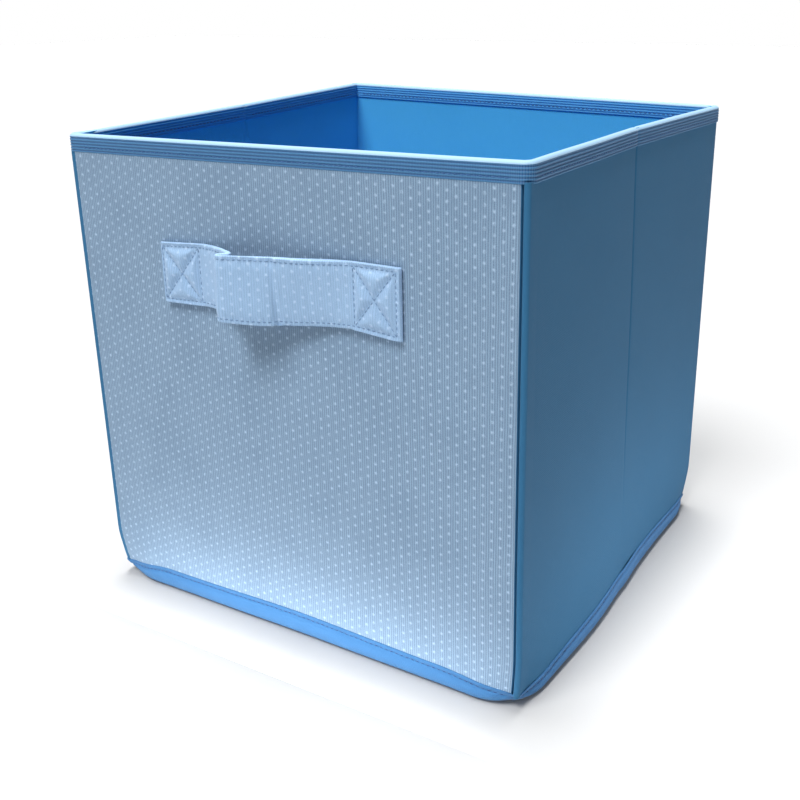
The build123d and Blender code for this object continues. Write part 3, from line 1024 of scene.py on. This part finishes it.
def handle_swell(s, z, foot, head):
    """How far the strap's face stands out from its middle, pulled down along every line of stitches."""
    from_edge = np.minimum(z - foot, head - z)
    rim = rounding(from_edge / EDGE_ROUND)
    nearest = np.abs(from_edge - HEM)
    for box in (BOX_LEFT, BOX_RIGHT):
        for a, b in box_lines(box):
            nearest = np.minimum(nearest, to_segment(s, z, a, b))
    in_box = np.maximum(
        ease(s, BOX_LEFT[0] - 2, BOX_LEFT[0] + 1) * (1 - ease(s, BOX_LEFT[1] - 1, BOX_LEFT[1] + 3)),
        ease(s, BOX_RIGHT[0] - 3, BOX_RIGHT[0] + 1) * (1 - ease(s, BOX_RIGHT[1] - 1, BOX_RIGHT[1] + 2)))
    plump = 1 - np.exp(-(nearest / 2.6) ** 1.6)
    puckers = 0.24 * bell(from_edge, HEM, 2.4) * np.sin(s * 2 * math.pi / 4.4 + 1.5 * np.sin(s / 9))
    puckers = puckers * np.clip((from_edge - 1) / 2, 0, 1)
    crumple = (0.3 * swell(3.2 * s, 3.0 * z, 0.9) + 0.16 * swell(7.5 * s, 6.0 * z, 2.7)) * (1 - 0.45 * in_box)
    creased = 0.9 * np.exp(-((s - CREASED_AT + 0.06 * (z - STRAP_MIDDLE)) / 1.5) ** 2)
    lean = (-0.05 * (1 - ease(s, CREASED_AT - 14, CREASED_AT + 2)) * ease(s, CUT_RUN, CUT_RUN + 8)
            + 0.08 * ease(s, CREASED_AT - 3, CREASED_AT + 3) * (1 - ease(s, BOX_RIGHT[0] - 16, BOX_RIGHT[0])))
    creased = creased - lean * (z - STRAP_MIDDLE)
    return 0.35 + 0.8 * rim + plump * (0.6 + 1.5 * in_box) + puckers + crumple * rim - creased


grid_s, grid_foot, grid_head = (spread(values, len(ACROSS)) for values in (handle_run, foot_z, head_z))
grid_z = grid_foot + (grid_head - grid_foot) * ACROSS[None, :]
face_out = handle_swell(grid_s, grid_z, grid_foot, grid_head)
edge_share = np.minimum(grid_z - grid_foot, grid_head - grid_z)
back_out = 0.25 + 0.8 * rounding(edge_share / EDGE_ROUND)
end_round = 0.35 + 0.65 * rounding(np.minimum(grid_s, handle_run[-1] - grid_s) / 1.2)


def handle_face(out, sign):
    return raised(handle_plan[:, None] + sign * handle_out[:, None] * (out * end_round)[..., None], grid_z)


handle_front = handle_face(face_out, 1.0)
handle_back = handle_face(back_out, -1.0)
handle_uv = np.stack([grid_s, grid_z], axis=2)


halves = {
    "handle_strap_left": (slice(0, CUT + 1), (-48, -24), ["handle_left_end"]),
    "handle_strap_right": (slice(CUT, len(handle_run)), (48, 0), ["handle_loop", "handle_right_end"]),
}
for name, (part, (held, free), nodes) in halves.items():
    faces = settled(handle_front[part]), settled(handle_back[part])
    half = keep(cloth_mesh(name, *faces, handle_uv[part], HANDLE_CLOTH, crisp=50), nodes)
    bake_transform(half)


def on_handle(s, z):
    """Points on the strap's face, and the way it faces, at lengths s along it and heights z."""
    foot, head = np.interp(s, handle_run, foot_z), np.interp(s, handle_run, head_z)
    out = handle_swell(s, z, foot, head)
    place, facing = (np.stack([np.interp(s, handle_run, values[:, a]) for a in (0, 1)], axis=1)
                     for values in (handle_plan, handle_out))
    facing /= np.linalg.norm(facing, axis=1)[:, None]
    return settled(raised(place + facing * out[:, None], z)), raised(facing, 0.0)


def handle_line(a, b):
    t = np.linspace(0, 1, 40)
    return on_handle(a[0] + (b[0] - a[0]) * t, a[1] + (b[1] - a[1]) * t)


def hem_run(start, end, top):
    s = np.arange(start, end, 0.8)
    z = np.interp(s, handle_run, head_z) - HEM if top else np.interp(s, handle_run, foot_z) + HEM
    return on_handle(s, z)


left_runs = [handle_line(a, b) for a, b in box_lines(BOX_LEFT)]
left_runs += [hem_run(BOX_LEFT[0], CUT_RUN - 1, top) for top in (True, False)]
right_runs = [handle_line(a, b) for a, b in box_lines(BOX_RIGHT)]
right_runs += [hem_run(CUT_RUN + 1, BOX_RIGHT[1], top) for top in (True, False)]
for name, runs, held, free, nodes in (
        ("handle_stitches_left", left_runs, -48, -24, []),
        ("handle_stitches_right", right_runs, 48, 0, ["handle_stitching"])):
    thread = keep(sewn(name, runs, PALE_THREAD, 2.9, 2.1, 0.27), nodes)
    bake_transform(thread)

# ---------------------------------------------------------------- floor, light and camera

FLOOR_HALF = 6
FLOOR_DROP = 0.0004          # keeps the floor off the tray's underside

paper = bpy.data.materials.new("studio_paper")
paper.use_nodes = True
paper_inputs = paper.node_tree.nodes["Principled BSDF"].inputs
paper_inputs["Base Color"].default_value = (0.46, 0.46, 0.46, 1)
paper_inputs["Roughness"].default_value = 0.9
floor_mesh = bpy.data.meshes.new("studio_floor")
floor_corners = [(x * FLOOR_HALF, y * FLOOR_HALF, 0) for x, y in ((-1, -1), (1, -1), (1, 1), (-1, 1))]
floor_mesh.from_pydata(floor_corners, [], [(0, 1, 2, 3)])
floor_mesh.materials.append(paper)
floor = bpy.data.objects.new("studio_floor", floor_mesh)
floor.location.z = -FLOOR_DROP
bpy.context.scene.collection.objects.link(floor)


def new_light(name, kind, power, facing):
    """A light that shines the way its -Z axis faces."""
    obj = bpy.data.objects.new(name, bpy.data.lights.new(name, kind))
    obj.data.energy = power
    obj.rotation_euler = facing.to_track_quat("-Z", "Y").to_euler()
    bpy.context.scene.collection.objects.link(obj)
    return obj


def soft_light(name, place, aim, size, power, flat):
    """A low, flat area light, a share flat as high as it is wide, that doesn't show itself."""
    obj = new_light(name, "AREA", power, Vector(aim) - Vector(place))
    obj.data.shape = "ELLIPSE"
    obj.data.size = size
    obj.data.size_y = size * flat
    obj.location = place
    obj.visible_camera = False


def sun_light(name, towards, strength, spread):
    new_light(name, "SUN", strength, -Vector(towards)).data.angle = math.radians(spread)


sun_light("light_above", (-0.06, 0.08, 1.0), 4.2, 20)
sun_light("light_front", (-0.08, -0.6, 1.0), 3.2, 26)
soft_light("light_low_front", (0.0, -0.205, 0.005), (0.0, 0, 0.005), 0.32, 0.02, flat=0.06)
soft_light("light_foot_front", (0.0, -0.172, 0.004), (0.0, 0, 0.008), 0.29, 0.075, flat=0.03)
soft_light("light_low_right", (0.25, 0.01, 0.03), (0, 0.01, 0.03), 0.34, 0.115, flat=0.08)

world = bpy.data.worlds.new("studio")
world.use_nodes = True
sky_nodes, sky_links = world.node_tree.nodes, world.node_tree.links
fill = sky_nodes["Background"]
fill.inputs["Color"].default_value = (0.85, 0.93, 1.0, 1)
fill.inputs["Strength"].default_value = 0.12
backdrop = sky_nodes.new("ShaderNodeBackground")     # what shows behind the floor: plain white
backdrop.inputs["Color"].default_value = (1, 1, 1, 1)
seen = sky_nodes.new("ShaderNodeMixShader")
sky_links.new(sky_nodes.new("ShaderNodeLightPath").outputs["Is Camera Ray"], seen.inputs[0])
sky_links.new(fill.outputs[0], seen.inputs[1])
sky_links.new(backdrop.outputs[0], seen.inputs[2])
sky_links.new(seen.outputs[0], sky_nodes["World Output"].inputs[0])
bpy.context.scene.world = world
bpy.context.scene.view_settings.view_transform = "Standard"

CAMERA_PLACE = Vector((0.3298, -0.5333, 0.3484))
turn, climb, roll = math.radians(31.15), math.radians(20.10), math.radians(-0.63)
away = Vector((math.sin(turn) * math.cos(climb), -math.cos(turn) * math.cos(climb), math.sin(climb)))
level = (-away).cross(Vector((0, 0, 1))).normalized()
upright = level.cross(-away)
right = math.cos(roll) * level + math.sin(roll) * upright
up = -math.sin(roll) * level + math.cos(roll) * upright
camera_data = bpy.data.cameras.new("camera")
camera_data.sensor_width = 36
camera_data.lens = 47.16
camera_data.shift_x = -0.0375
camera_data.shift_y = -0.0375
camera_data.clip_start = 0.01
camera = bpy.data.objects.new("camera", camera_data)
camera.matrix_world = Matrix.Translation(CAMERA_PLACE) @ Matrix((right, up, away)).transposed().to_4x4()
bpy.context.scene.collection.objects.link(camera)
bpy.context.scene.camera = camera
